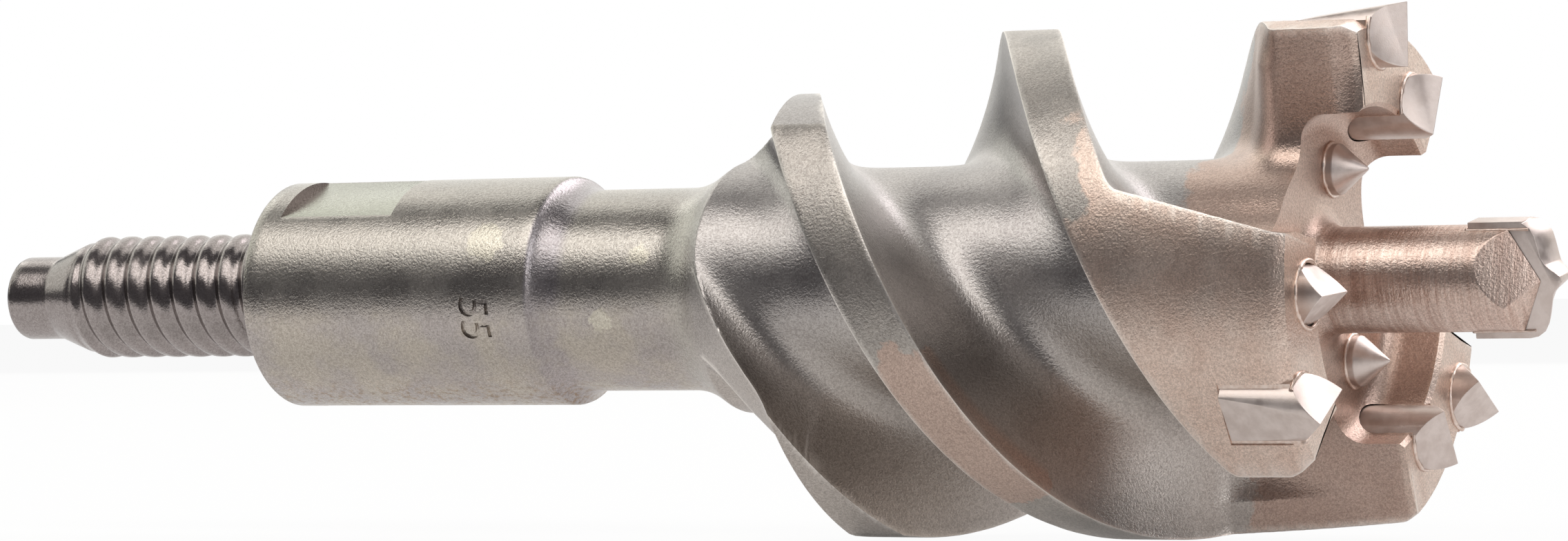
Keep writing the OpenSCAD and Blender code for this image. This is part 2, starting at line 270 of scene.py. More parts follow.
def corners(geom):
    """The vertices among a bmesh operator's results."""
    return [g for g in geom if isinstance(g, bmesh.types.BMVert)]


def bisect(bm, point, normal):
    """Grinds away what lies ahead of a plane and closes the ground face."""
    geom = bm.verts[:] + bm.edges[:] + bm.faces[:]
    cut = bmesh.ops.bisect_plane(bm, geom=geom, dist=1e-7, plane_co=point, plane_no=normal,
                                 clear_outer=True)["geom_cut"]
    edges = [e for e in cut if isinstance(e, bmesh.types.BMEdge)]
    if edges:
        bmesh.ops.holes_fill(bm, edges=edges)


def soften(bm, width, angle):
    """Bevels every edge that is sharper than an angle."""
    edges = [e for e in bm.edges if len(e.link_faces) == 2
             and e.calc_face_angle(0) > math.radians(angle)]
    bmesh.ops.bevel(bm, geom=edges, offset=width * MM, offset_type="OFFSET", affect="EDGES",
                    segments=2, profile=0.5, material=-1, clamp_overlap=True)


def joined(*parts):
    """One bmesh out of several, which are freed."""
    whole = bmesh.new()
    for part in parts:
        mesh = bpy.data.meshes.new("part")
        part.to_mesh(mesh)
        part.free()
        whole.from_mesh(mesh)
        bpy.data.meshes.remove(mesh)
    return whole


# Steel body: the turned blank's profile

def cove(t):
    """Fillet from the collar down to the neck, t from 0 to 1."""
    length, drop = COVE_L, COLLAR_R - NECK_R
    r = (length ** 2 + drop ** 2) / (2 * drop)
    a = t * math.asin(length / r)
    start = math.asin(length / r) - a
    return COLLAR_L + length - r * math.sin(start), NECK_R + r * (1 - math.cos(start))


FLARE = math.tan(math.radians(32.0))
SHOULDER = math.tan(math.radians(59.0))


def blank_radius(x):
    """Radius ahead of the collar: neck, flare, shoulder, lands and the crown's broken rim."""
    if x < COLLAR_L + COVE_L:
        return COLLAR_R
    if x > CROWN - 1.0:
        return LAND_R - 0.2 - (x - CROWN + 1.0) * 0.7
    if x > CROWN - 1.4:
        return LAND_R - 0.2 * ease((x - CROWN + 1.4) / 0.4)
    r = NECK_R + FLARE * soft_ramp(x - NECK_END, 2.6)
    r += (SHOULDER - FLARE) * soft_ramp(x - FLARE_END, 0.9)
    return LAND_R - soft_ramp(LAND_R - r, 0.12)


# Flutes. The edges of the top arm's land are given in degrees at a station. The roots are the
# fillets at the walls' feet, the lips lie under the lands, and the U values are where a side's
# parameter passes the lip and the wall's foot. The bevel is on the trailing wall at the face.

LEAD = 86.0
TWIST = 360.0 / LEAD
STRAIGHT = CROWN - 8.7
LAND_ARC = 26.0
TRAIL_EDGE = 17.0
LEAD_EDGE = -42.0
LEAD_DRIFT = -39.6
TRAIL_ROOT = 4.5
LEAD_ROOT = 6.5
TRAIL_LIP = 22.0
LEAD_LIP = 22.6
LIP_U = 0.3
WALL_U = 0.5
BEVEL_W = 1.5
BEVEL_L = 2.6


def trail_angle(x):
    """A land's trailing edge: on the helix, then straight between the arms."""
    return TRAIL_EDGE - TWIST * soft_ramp(STRAIGHT - x, 0.6)


def lead_angle(x):
    """A land's leading edge: on the helix, then nearly straight between the arms."""
    helix = TRAIL_EDGE - TWIST * (STRAIGHT - x) - LAND_ARC
    drifted = LEAD_DRIFT - 0.6 * (CROWN - x)
    return drifted - soft_ramp(drifted - helix, 3.0)


def root_point(t, root):
    """Fillet between a radial wall and the core, as [angle from the wall, radius]."""
    turn = math.asin(root / (CORE_R + root))
    a = math.radians(-90) - (math.pi / 2 - turn) * t
    x = (CORE_R + root) * math.cos(turn) + root * math.cos(a)
    y = root + root * math.sin(a)
    return math.degrees(math.atan2(y, x)), math.hypot(x, y)


def flank(x, u, trailing):
    """[angle out of the arm, radius] of a flute's side at a station; u runs from land to core.

    It passes a lip at LIP_U and the foot of the wall at WALL_U, and ends with the root's fillet.
    """
    bevel = 0.0
    if trailing:
        root, lip = TRAIL_ROOT, TRAIL_LIP
        shift = (TRAIL_EDGE - trail_angle(x)) * ease((x - CROWN + 15.0) / 8.0)
        edge = shift
        bevel = BEVEL_W * max(0.0, x - (CROWN - BEVEL_L)) / BEVEL_L
    else:
        root, lip = LEAD_ROOT, LEAD_LIP
        shift = (lead_angle(x) - LEAD_EDGE) * ease((x - CROWN + 20.6) / 6.0)
        edge = max(0.0, shift)
    if u < LIP_U:
        t = u / LIP_U
        a, r = edge * t, mix(LAND_R, lip, t)
    elif u < WALL_U:
        t = (u - LIP_U) / (WALL_U - LIP_U)
        a = mix(edge, shift, math.sin(math.radians(90.0 * t)))
        r = mix(lip, root_point(0.0, root)[1], t)
    else:
        a, r = root_point((u - WALL_U) / (1.0 - WALL_U), root)
        a += shift
    if bevel and r > 15.0:
        a -= math.degrees(math.asin(bevel / r)) * ease((r - 15.0) / 2.5)
    return a, r


# A land's tail is rounded by a circle through its start, with its centre off the axis
TAIL_ANGLE = trail_angle(SHOULDER_END)
TAIL_SHIFT = 8.3
TAIL_TURN = math.radians(60.0)
TAIL_R = math.hypot(LAND_R - TAIL_SHIFT * math.cos(TAIL_TURN),
                    TAIL_SHIFT * math.sin(TAIL_TURN))


def tail_radius(ahead):
    """Radius of a land's rounded tail, at an angle from the line where the rounding starts."""
    a = math.radians(ahead) - TAIL_TURN
    return TAIL_SHIFT * math.cos(a) + math.sqrt(TAIL_R ** 2 - (TAIL_SHIFT * math.sin(a)) ** 2)


def flank_start(x, trailing):
    """Where the side begins on the turned blank, as its parameter u."""
    limit = blank_radius(x)
    if flank(x, 0.0, trailing)[1] <= limit:
        return 0.0
    lo, hi = 0.0, 1.0
    for _ in range(30):
        mid = (lo + hi) / 2
        if flank(x, mid, trailing)[1] > limit:
            lo = mid
        else:
            hi = mid
    return min(hi, 0.97)


# Counts of a ring's steps over a land, a side and a flute's floor, and a side's fixed samples
# about its lip. Edges are worn ahead of a station, by a width that varies. WORN is how far the
# wear goes down a side, as a share of that width, and WEAR_REACH how far its brightness fades.
LAND_STEPS = 12
SIDE_STEPS = 16
FLOOR_STEPS = 13
LIP_SAMPLES = [0.285, 0.3, 0.315]
EASING = 10
WORN_FROM = 56
WORN = 0.22
WORN_W = 0.30
WORN_SWING = 0.12
WEAR_REACH = 0.45
edge_points = []


def side_points(x, trailing, width):
    """A side from its worn edge down to the core, as [angle out of the arm, radius]."""
    u0 = flank_start(x, trailing)
    a0, r0 = flank(x, u0, trailing)
    a1, r1 = flank(x, u0 + 0.01, trailing)
    run = max(1e-4, math.hypot(r1 - r0, math.radians(a1 - a0) * r0))
    du = min(0.05, 0.01 * width / run)
    top = min(r0, blank_radius(x))
    first = flank(x, min(0.985, u0 + du), trailing)
    points = [(a0 + math.degrees(WORN * width / top), top - WORN * width), first]
    stops = [min(1.0, mix(u0 + du, 1.0, i / SIDE_STEPS)) for i in range(1, SIDE_STEPS + 1)]
    if u0 + du < 0.15:
        stops[3:6] = LIP_SAMPLES
    points += [flank(x, u, trailing) for u in stops]
    return points, a0, top


def edge_width(x, k, trailing):
    """Width of a worn edge, which is uneven along its length."""
    s = x * (1.0 if trailing else 1.13) + 37.0 * k + (11.0 if trailing else 0.0)
    n = (math.sin(s * 1.9) + math.sin(s * 3.7 + 1.3) + math.sin(s * 7.9 + 0.4) * 0.6) / 2.6
    return WORN_W + WORN_SWING * n


def eased(points):
    """A flute's section with its wall, root and floor flowing into each other below the land."""
    flat = [(r * math.cos(math.radians(a)), r * math.sin(math.radians(a))) for a, r in points]
    hold = [ease((22.5 - r) / 5.0) * 0.5 for _, r in points]
    for _ in range(EASING):
        moved = list(flat)
        for i in range(1, len(flat) - 1):
            (u0, v0), (u, v), (u1, v1) = flat[i - 1:i + 2]
            moved[i] = (u + hold[i] * ((u0 + u1) / 2 - u), v + hold[i] * ((v0 + v1) / 2 - v))
        flat = moved
    middle = points[len(points) // 2][0]
    result = []
    for u, v in flat:
        a = math.degrees(math.atan2(v, u))
        result.append((a + 360.0 * round((middle - a) / 360.0), math.hypot(u, v)))
    return result


def fluted_ring(x):
    """One ring of the fluted body; all rings have the same count of points, in the same order."""
    ring = []
    r = blank_radius(x)
    base = trail_angle(x)
    following = lead_angle(x) + ARM
    for k in range(3):
        wt = edge_width(x, k, True)
        wl = edge_width(x, k, False)
        trail, at, rt = side_points(x, True, wt)
        lead, al, rl = side_points(x, False, wl)
        start = lead_angle(x) - al
        end = base + at
        cut_l = math.degrees(wl / r)
        cut_t = math.degrees(wt / r)
        for i in range(LAND_STEPS + 1):
            ring.append((mix(start + cut_l, end - cut_t, i / LAND_STEPS) + ARM * k, r))
        flute = [(base + a + ARM * k, rr) for a, rr in trail]
        a_from = base + trail[-1][0]
        a_to = following - lead[-1][0]
        for i in range(1, FLOOR_STEPS):
            flute.append((mix(a_from, a_to, i / FLOOR_STEPS) + ARM * k, CORE_R))
        flute += [(following - a + ARM * k, rr) for a, rr in reversed(lead)]
        ring += eased(flute)
        if x > WORN_FROM:
            for a, rr in ((end, rt), (start, rl)):
                if x < SHOULDER_END + 7.0 and a < TAIL_ANGLE:
                    rr = min(rr, tail_radius(a - TAIL_ANGLE))
                edge_points.append(polar(x, rr, a + ARM * k))
    return ring


def floor_lift(x):
    """Height of the flutes' floor above the core, where they run out at the rear."""
    return 0.85 * (1.0 - ease((x - 54.0) / 9.0))


def fluted_points(x):
    """Ring of the fluted part, inside the blank."""
    limit = blank_radius(x)
    return [polar(x, min(r + floor_lift(x), limit), a) for a, r in fluted_ring(x)]


def run_out():
    """Station where the flutes' floor leaves the flare."""
    lo, hi = NECK_END, FLARE_END
    for _ in range(30):
        mid = (lo + hi) / 2
        if blank_radius(mid) < CORE_R + floor_lift(mid):
            lo = mid
        else:
            hi = mid
    return lo


# The turned rear part has its ring's points at the angles where the fluted part starts
FLUTES_START = 52.8
NECK_RING = fluted_ring(FLUTES_START)


def turned_points(x, radius):
    """Ring of the turned rear part; radius is a number or a function of the angle."""
    return [polar(x, radius(a) if callable(radius) else radius, a) for a, _ in NECK_RING]


# Rope thread: two starts, run in over the spigot's front end

PITCH = 3.0
STARTS = 2
CREST_R = 6.75
THREAD_DEPTH = 0.65
THREAD_ROOT = CREST_R - THREAD_DEPTH
THREAD_REAR = -27.4
SPIGOT_R = 4.6


def thread_radius(x):
    """Radius at a station as a function of the angle."""
    fade = ease((x - THREAD_REAR) / 2.2)

    def at(angle):
        phase = math.radians(360 * x / PITCH - STARTS * angle)
        groove = ((1 + math.cos(phase)) / 2) ** 1.8
        return THREAD_ROOT + THREAD_DEPTH * fade * (1 - groove)
    return at


def steps(a, b, step):
    """Numbers from a to b, evenly and about a step apart."""
    n = max(1, round((b - a) / step))
    return [mix(a, b, i / n) for i in range(n + 1)]


def body_rings():
    """All rings of the steel body, from its rear end to the crown's face."""
    # Spigot: rounded end, plain part, cone and thread
    stations = [(REAR, 0.0), (REAR, 2.2), (REAR, 3.9), (-36.52, 4.28), (-36.3, 4.5)]
    stations += [(-36.0, SPIGOT_R)] + [(x, SPIGOT_R) for x in steps(-35.0, -31.6, 0.85)]
    stations += [(-31.25, 4.62), (-31.0, 4.72), (-30.6, 4.9), (-29.8, 5.2), (-28.9, 5.55),
                 (-28.0, 5.88)]
    stations += [(x, thread_radius(x)) for x in steps(THREAD_REAR, -0.35, 0.165)]

    # Seating face, collar, cove and neck
    stations += [(-0.15, THREAD_ROOT + 0.25), (0.0, THREAD_ROOT + 0.7)]
    stations += [(0.0, r) for r in (8.5, 10.5, COLLAR_R - 0.3)]
    stations += [(0.06, COLLAR_R - 0.12), (0.25, COLLAR_R)]
    stations += [(x, COLLAR_R) for x in steps(1.5, 34.0, 1.3)]
    stations += [(34.85, COLLAR_R), (35.05, COLLAR_R - 0.08)]
    stations += [cove(t) for t in (0.04, 0.12, 0.25, 0.4, 0.55, 0.7, 0.85, 1.0)]
    stations += [(x, NECK_R) for x in (39.5, 41.5, 43.5, 45.5, 47.5)]
    stations += [(x, blank_radius(x)) for x in steps(48.5, FLUTES_START, 0.45)]
    rings = [turned_points(x, radius) for x, radius in stations]

    # Fluted part and face
    start = run_out()
    rings += [fluted_points(x) for x in steps(53.2, start - 0.12, 0.4)]
    rings += [fluted_points(start), fluted_points(start + 0.12)]
    rings += [fluted_points(x) for x in steps(start + 0.4, CROWN, 0.41)]
    last = rings[-1]
    centre = Vector((CROWN * MM, 0, 0))
    rings.append([centre.lerp(p, 0.35) for p in last])
    rings.append([centre.copy() for _ in last])
    return rings


# Bodies that cut the blank. They reach a little past the post's wall and well above a tooth's
# point, and a sliver keeps the walls of two of them from coinciding.

INTO_POST = 0.03
ABOVE = 4.0
SLIVER = 0.004


def bowl_cutter():
    """The valley round the post, with its root groove, its floor and its wall."""
    profile = [(CROWN + 1.0, POST_R - INTO_POST)]
    for i in range(9):
        a = math.radians(180 + 90 * i / 8)
        profile.append((FLOOR + POST_ROOT + POST_ROOT * math.sin(a),
                        POST_R + POST_ROOT + (POST_ROOT + INTO_POST) * math.cos(a)))
    for i in range(9):
        a = math.radians(-90 + 90 * i / 8)
        profile.append((FLOOR + WALL_ROOT + WALL_ROOT * math.sin(a),
                        BOWL_R - WALL_ROOT + WALL_ROOT * math.cos(a)))
    profile += [(CROWN - 0.45, BOWL_R), (CROWN, BOWL_R + 0.4), (CROWN + 1.0, BOWL_R + 1.4)]
    return linked("bowl", turned(profile, 144))


def tail_cutter(turn):
    """What is taken off a land's tail: a sector outside the circle that rounds it."""
    behind, ahead, outer = -70.0, 6.0, 34.0
    start, length = FLARE_END - 1.5, 13.6
    bm = bmesh.new()
    bmesh.ops.create_grid(bm, x_segments=40, y_segments=1, size=1.0)
    for v in bm.verts:
        d = mix(behind, ahead, (v.co.x + 1) / 2)
        r = tail_radius(d) if v.co.y < 0 else outer
        v.co = polar(start, r, TAIL_ANGLE + turn + d)
    made = bmesh.ops.extrude_face_region(bm, geom=bm.faces[:])["geom"]
    bmesh.ops.translate(bm, verts=corners(made), vec=(length * MM, 0, 0))
    for x in steps(start, start + length, 0.8)[1:-1]:
        bmesh.ops.bisect_plane(bm, geom=bm.verts[:] + bm.edges[:] + bm.faces[:],
                               plane_co=(x * MM, 0, 0), plane_no=(1, 0, 0))
    bmesh.ops.recalc_face_normals(bm, faces=bm.faces)
    return linked("tail", bm)


def hole_cutter(d, length, angle, radius, top):
    """Blind hole for a tooth, larger than it by the braze."""
    bm = rod(d + 2 * BRAZE, -length - BRAZE, ABOVE, 48)
    seat(bm, angle, radius, top)
    return linked("hole", bm)


def mouth_cutter(d, length, angle, radius, top):
    """Straight walls that open an outer tooth's hole into a slot in the land."""
    bm = block((d, d + 2 * BRAZE - SLIVER, length + BRAZE + ABOVE),
               (d / 2, 0, (ABOVE - length - BRAZE) / 2))
    seat(bm, angle, radius, top)
    bmesh.ops.recalc_face_normals(bm, faces=bm.faces)
    return linked("mouth", bm)


def flat_cutter(turn):
    """A spanner flat, milled with square end walls."""
    bm = block((6, 30, FLAT_L), (FLAT_R + 3, 0, FLAT_MIDDLE))
    seat(bm, turn, 0.0, 0.0)
    bmesh.ops.recalc_face_normals(bm, faces=bm.faces)
    return linked("flat", bm)


def stamp_cutter():
    """The plain number 55, one figure below the other along the collar's edge."""
    curve = bpy.data.curves.new("stamp", "FONT")
    curve.body = "55"
    curve.size = STAMP_SIZE * MM
    curve.align_x = "CENTER"
    curve.align_y = "CENTER"
    curve.extrude = 1.0 * MM
    curve.space_character = 0.95
    text = bpy.data.objects.new("stamp", curve)
    bpy.context.scene.collection.objects.link(text)
    bpy.context.view_layer.update()
    graph = bpy.context.evaluated_depsgraph_get()
    mesh = bpy.data.meshes.new_from_object(text.evaluated_get(graph), depsgraph=graph)
    bpy.data.objects.remove(text)
    bpy.data.curves.remove(curve)
    bm = bmesh.new()
    bm.from_mesh(mesh)
    bpy.data.meshes.remove(mesh)
    bmesh.ops.remove_doubles(bm, verts=bm.verts, dist=0.001 * MM)
    for v in bm.verts:
        line, row = v.co.x / MM, v.co.y / MM
        r = COLLAR_R + (0.8 if v.co.z > 0 else -STAMP_DEPTH)
        v.co = polar(STAMP_X + row, r, STAMP_TURN + math.degrees(line / COLLAR_R))
    bmesh.ops.recalc_face_normals(bm, faces=bm.faces)
    return linked("stamp", bm)


def post_part():
    """The pilot post, ground to two planes on each side of the plate."""
    length = 24.0
    bm = bmesh.new()
    bmesh.ops.create_cone(bm, cap_ends=True, segments=96, radius1=POST_R * MM,
                          radius2=POST_R * MM, depth=length * MM)
    bmesh.ops.rotate(bm, verts=bm.verts, cent=(0, 0, 0),
                     matrix=Matrix.Rotation(math.radians(90), 3, "Y"))
    bmesh.ops.translate(bm, verts=bm.verts, vec=((POST_FOOT + length / 2) * MM, 0, 0))
    for side in (0.0, 180.0):
        for slope, turn, height in POST_PLANES:
            s = math.radians(slope)
            down = polar(0.0, 1.0, PLATE_TURN + side + turn).normalized()
            normal = Vector((math.cos(s), 0, 0)) + down * math.sin(s)
            bisect(bm, Vector((height * MM, 0, 0)), normal)
    bmesh.ops.recalc_face_normals(bm, faces=bm.faces)
    soften(bm, 0.12, 20.0)
    return bm


def slot_cutter():
    """Slot in the post for the plate, with braze on its sides and at its foot."""
    bm = block((14, PLATE_T + 2 * BRAZE, 20), (0, 0, TIP - PLATE_L - BRAZE + 10.0))
    seat(bm, PLATE_TURN, 0.0, 0.0)
    bmesh.ops.recalc_face_normals(bm, faces=bm.faces)
    return linked("slot", bm)


def make_body(material):
    """The steel body: the skin, all cuts, and the post set into the bowl."""
    body = linked("steel_body", skin(body_rings()))
    cutters = [bowl_cutter()]
    for k in range(3):
        a = ARM * k
        cutters.append(tail_cutter(a))
        cutters.append(hole_cutter(OUTER_D, OUTER_L, a, OUTER_POS, OUTER_TOP))
        cutters.append(mouth_cutter(OUTER_D, OUTER_L, a, OUTER_POS, OUTER_TOP))
        cutters.append(hole_cutter(INNER_D, INNER_L, a + INNER_TURN, INNER_POS, INNER_TOP))
        cutters.append(hole_cutter(PIN_D, PIN_HOLE_L, a + PIN_TURN, PIN_POS, PIN_TOP))
    cutters += [flat_cutter(FLAT_TURN), flat_cutter(FLAT_TURN + 180), stamp_cutter()]
    carve(body, cutters)
    post = linked("post", post_part())
    carve(post, [slot_cutter()])
    carve(body, [post], "UNION")
    bm = bmesh.new()
    bm.from_mesh(body.data)
    cleaned(bm, 0.002)
    bm.to_mesh(body.data)
    bm.free()
    return finished(body, material, 38.0, ("drill_body",))


# Carbide teeth, pins and plate, and their braze

def tooth_bm(d, length, ground):
    """Round carbide rod with two facets that meet in a ridge, and a ground side if asked."""
    bm = rod(d, -length, d, 72)
    for side in (1, -1):
        bisect(bm, Vector((0, 0, 0)), Vector((0, side, 1)).normalized())
    if ground:
        bisect(bm, Vector((d / 2 * MM, 0, 0)), Vector((1, RELIEF, -TAPER)).normalized())
    bmesh.ops.recalc_face_normals(bm, faces=bm.faces)
    soften(bm, 0.07, 20.0)
    return bm


def make_tooth(name, d, length, angle, radius, top, ground, material):
    """A chisel tooth on its seat."""
    bm = tooth_bm(d, length, ground)
    seat(bm, angle, radius, top)
    cleaned(bm, 0.001)
    return finished(linked(name + "_ground", bm), material, 18.0, (name,))


def make_pin(name, angle, material):
    """A pin: a blunt cone on a straight shaft."""
    bm = bmesh.new()
    bmesh.ops.create_cone(bm, cap_ends=True, segments=64, radius1=PIN_D / 2 * MM,
                          radius2=0.12 * MM, depth=PIN_CONE_L * MM)
    bmesh.ops.translate(bm, verts=bm.verts, vec=(0, 0, -PIN_CONE_L / 2 * MM))
    shaft = [f for f in bm.faces if f.normal.z < -0.9]
    down = bmesh.ops.extrude_face_region(bm, geom=shaft)["geom"]
    bmesh.ops.translate(bm, verts=corners(down), vec=(0, 0, -PIN_SHAFT_L * MM))
    bmesh.ops.delete(bm, geom=shaft, context="FACES")
    bmesh.ops.recalc_face_normals(bm, faces=bm.faces)
    soften(bm, 0.1, 30.0)
    seat(bm, angle, PIN_POS, PIN_TOP)
    cleaned(bm, 0.001)
    return finished(linked(name + "_ground", bm), material, 28.0, (name,))


def make_plate(material):
    """The pilot's plate. Its front edge is ground back on opposite sides of the axis."""
    half = [(5.8, PLATE_L), (5.8, 3.6), (5.62, 2.75), (5.1, 2.0), (4.3, 1.55), (3.4, 1.33),
            (2.2, 1.1), (1.5, 0.95), (1.1, 0.72), (0.65, 0.3), (0.3, 0.02)]
    outline = half + [(-r, z) for r, z in reversed(half)]
    bm = bmesh.new()
    verts = [bm.verts.new((r * MM, -PLATE_T / 2 * MM, (TIP - z) * MM)) for r, z in outline]
    face = bm.faces.new(verts)
    made = bmesh.ops.extrude_face_region(bm, geom=[face])["geom"]
    bmesh.ops.translate(bm, verts=corners(made), vec=(0, PLATE_T * MM, 0))
    for v in bm.verts:
        r, side, behind = v.co.x / MM, v.co.y / MM, TIP - v.co.z / MM
        if behind < 3.0 and abs(r) > 0.2 and r * side > 0:
            v.co.z -= 0.95 * MM * min(1.0, abs(r) / 2.0)
    bmesh.ops.recalc_face_normals(bm, faces=bm.faces)
    front = [f for f in bm.faces if len(f.verts) == 4 and abs(f.normal.z) > 0.2]
    bmesh.ops.triangulate(bm, faces=front)
    soften(bm, 0.11, 30.0)
    seat(bm, PLATE_TURN, 0.0, 0.0)
    cleaned(bm, 0.001)
    return finished(linked("pilot_plate_ground", bm), material, 28.0,
                    ("pilot_plate",))


# Radius of the beads round the teeth's mouths, and how much wider than a tooth they run
BEAD_R = 0.24
BEAD_GAP = 0.1


def tube(points, radius, sides=8, close=False):
    """A bead along points: a small ring is swept from point to point."""
    count = len(points)
    rows = count + (1 if close else 0)
    bm = bmesh.new()
    bmesh.ops.create_grid(bm, x_segments=sides, y_segments=rows - 1, size=1.0)
    frames = []
    for j in range(count):
        a = points[(j - 1) % count] if close else points[max(0, j - 1)]
        b = points[(j + 1) % count] if close else points[min(count - 1, j + 1)]
        along = (b - a).normalized()
        out = Vector((0, points[j].y, points[j].z)).normalized() + Vector((0.6, 0, 0))
        up = (out - along * out.dot(along)).normalized()
        frames.append((up, along.cross(up)))
    for v in bm.verts:
        i = round((v.co.x + 1) / 2 * sides) % sides
        j = round((v.co.y + 1) / 2 * (rows - 1)) % count
        up, side = frames[j]
        r = radius(j) if callable(radius) else radius
        t = math.tau * i / sides
        v.co = points[j] + (up * math.cos(t) + side * math.sin(t)) * r * MM
    bmesh.ops.remove_doubles(bm, verts=bm.verts, dist=0.0005 * MM)
    if not close:
        bmesh.ops.holes_fill(bm, edges=[e for e in bm.edges if len(e.link_faces) == 1])
    bmesh.ops.recalc_face_normals(bm, faces=bm.faces)
    return bm


def uneven(seed, base, swing):
    """Radius of a bead that swells and narrows from point to point."""
    def at(j):
        n = math.sin(j * 0.9 + seed) + 0.7 * math.sin(j * 2.3 + seed * 1.7)
        n += 0.5 * math.sin(j * 0.37 + seed)
        return base + swing * n / 2.2
    return at


def rod_surface(d, angle, radius, top, around, behind):
    """Point on a seated tooth's side: around is 0 outwards; behind is measured from its point."""
    t = math.radians(around)
    out = outwards(angle)
    p = out * (d / 2 * math.cos(t)) + AHEAD.cross(out) * (d / 2 * math.sin(t)) - AHEAD * behind
    return polar(top, radius, angle) + p * MM


def face_bead(d, angle, radius, top, start, end, station):
    """Points round a tooth's side at a station, between two angles."""
    return [rod_surface(d, angle, radius, top, mix(start, end, i / 40), top - station)
            for i in range(41)]


def slot_fill(k):
    """Braze that fills the slot beside an outer tooth, a little below the land."""
    a = ARM * k
    fill = hole_cutter(OUTER_D - SLIVER, OUTER_L, a, OUTER_POS, OUTER_TOP)
    carve(fill, [mouth_cutter(OUTER_D, OUTER_L, a, OUTER_POS, OUTER_TOP)], "UNION")
    rear, front, side = CROWN - 17.0, CROWN - 0.1, LAND_R - 0.16
    limit = [(rear, 0.0), (rear, side), (front, side), (front, 0.0)]
    carve(fill, [linked("limit", turned(limit, 288))], "INTERSECT")
    bm = rod(OUTER_D + 0.01, -OUTER_L - 0.05, 6.0, 72)
    seat(bm, a, OUTER_POS, OUTER_TOP)
    carve(fill, [linked("tooth", bm)])
    bm = bmesh.new()
    bm.from_mesh(fill.data)
    data = fill.data
    bpy.data.objects.remove(fill)
    bpy.data.meshes.remove(data)
    return bm


def make_braze(name, kind, k, material):
    """Braze of one tooth: beads round its mouth, and down its side where that is open."""
    a = ARM * k
    if kind == "outer":
        seat_of = (OUTER_D + BEAD_GAP, a, OUTER_POS, OUTER_TOP)
        rim = face_bead(*seat_of, 60, 300, CROWN + 0.02)
        parts = [tube(rim, uneven(1.0 + k, BEAD_R, 0.09)), slot_fill(k)]
    elif kind == "inner":
        seat_of = (INNER_D + BEAD_GAP, a + INNER_TURN, INNER_POS, INNER_TOP)
        rim = face_bead(*seat_of, -130, 130, CROWN + 0.02)
        parts = [tube(rim, uneven(3.0 + k, BEAD_R, 0.09))]
        for turn in (131, -131):
            line = [rod_surface(*seat_of, turn, mix(INNER_TOP - CROWN, 9.3, i / 20))
                    for i in range(21)]
            parts.append(tube(line, uneven(4.0 + k + turn, 0.16, 0.06)))
    else:
        seat_of = (PIN_D + BEAD_GAP, a + PIN_TURN, PIN_POS, PIN_TOP)
        rim = face_bead(*seat_of, 0, 351, FLOOR + 0.05)
        parts = [tube(rim, uneven(5.0 + k, BEAD_R, 0.08), close=True)]
    obj = linked(name + "_bead", joined(*parts))
    return finished(obj, material, 60.0, (name,))


def make_pilot_braze(material):
    """Beads along the plate's four corners with the post, and across its two feet."""
    radius = POST_R - 0.02
    corner = math.degrees(math.asin(1.6 / radius))
    parts = []
    for side in (1, -1):
        for face in (1, -1):
            turn = PLATE_TURN + (0 if face > 0 else 180) + side * corner
            line = [polar(TIP - mix(3.0, 9.4, i / 13), radius, turn) for i in range(14)]
            parts.append(tube(line, uneven(6.0 + side + face, 0.13, 0.04)))
    for turn in (PLATE_TURN, PLATE_TURN + 180):
        foot = [polar(TIP - PLATE_L - BRAZE, POST_R, turn + mix(-17, 17, i / 8))
                for i in range(9)]
        parts.append(tube(foot, 0.16))
    obj = linked("pilot_braze_bead", joined(*parts))
    return finished(obj, material, 60.0, ("pilot_braze",))


# Materials

def srgb(r, g, b):
    """Linear colour of an sRGB colour with parts from 0 to 255."""
    def one(c):
        c /= 255.0
        return c / 12.92 if c <= 0.04045 else ((c + 0.055) / 1.055) ** 2.4
    return one(r), one(g), one(b), 1.0


def emptied(owner, output):
    """Empties the node tree of a material or world. Returns the tree and a new output node."""
    owner.use_nodes = True
    owner.node_tree.nodes.clear()
    return owner.node_tree, owner.node_tree.nodes.new(output)


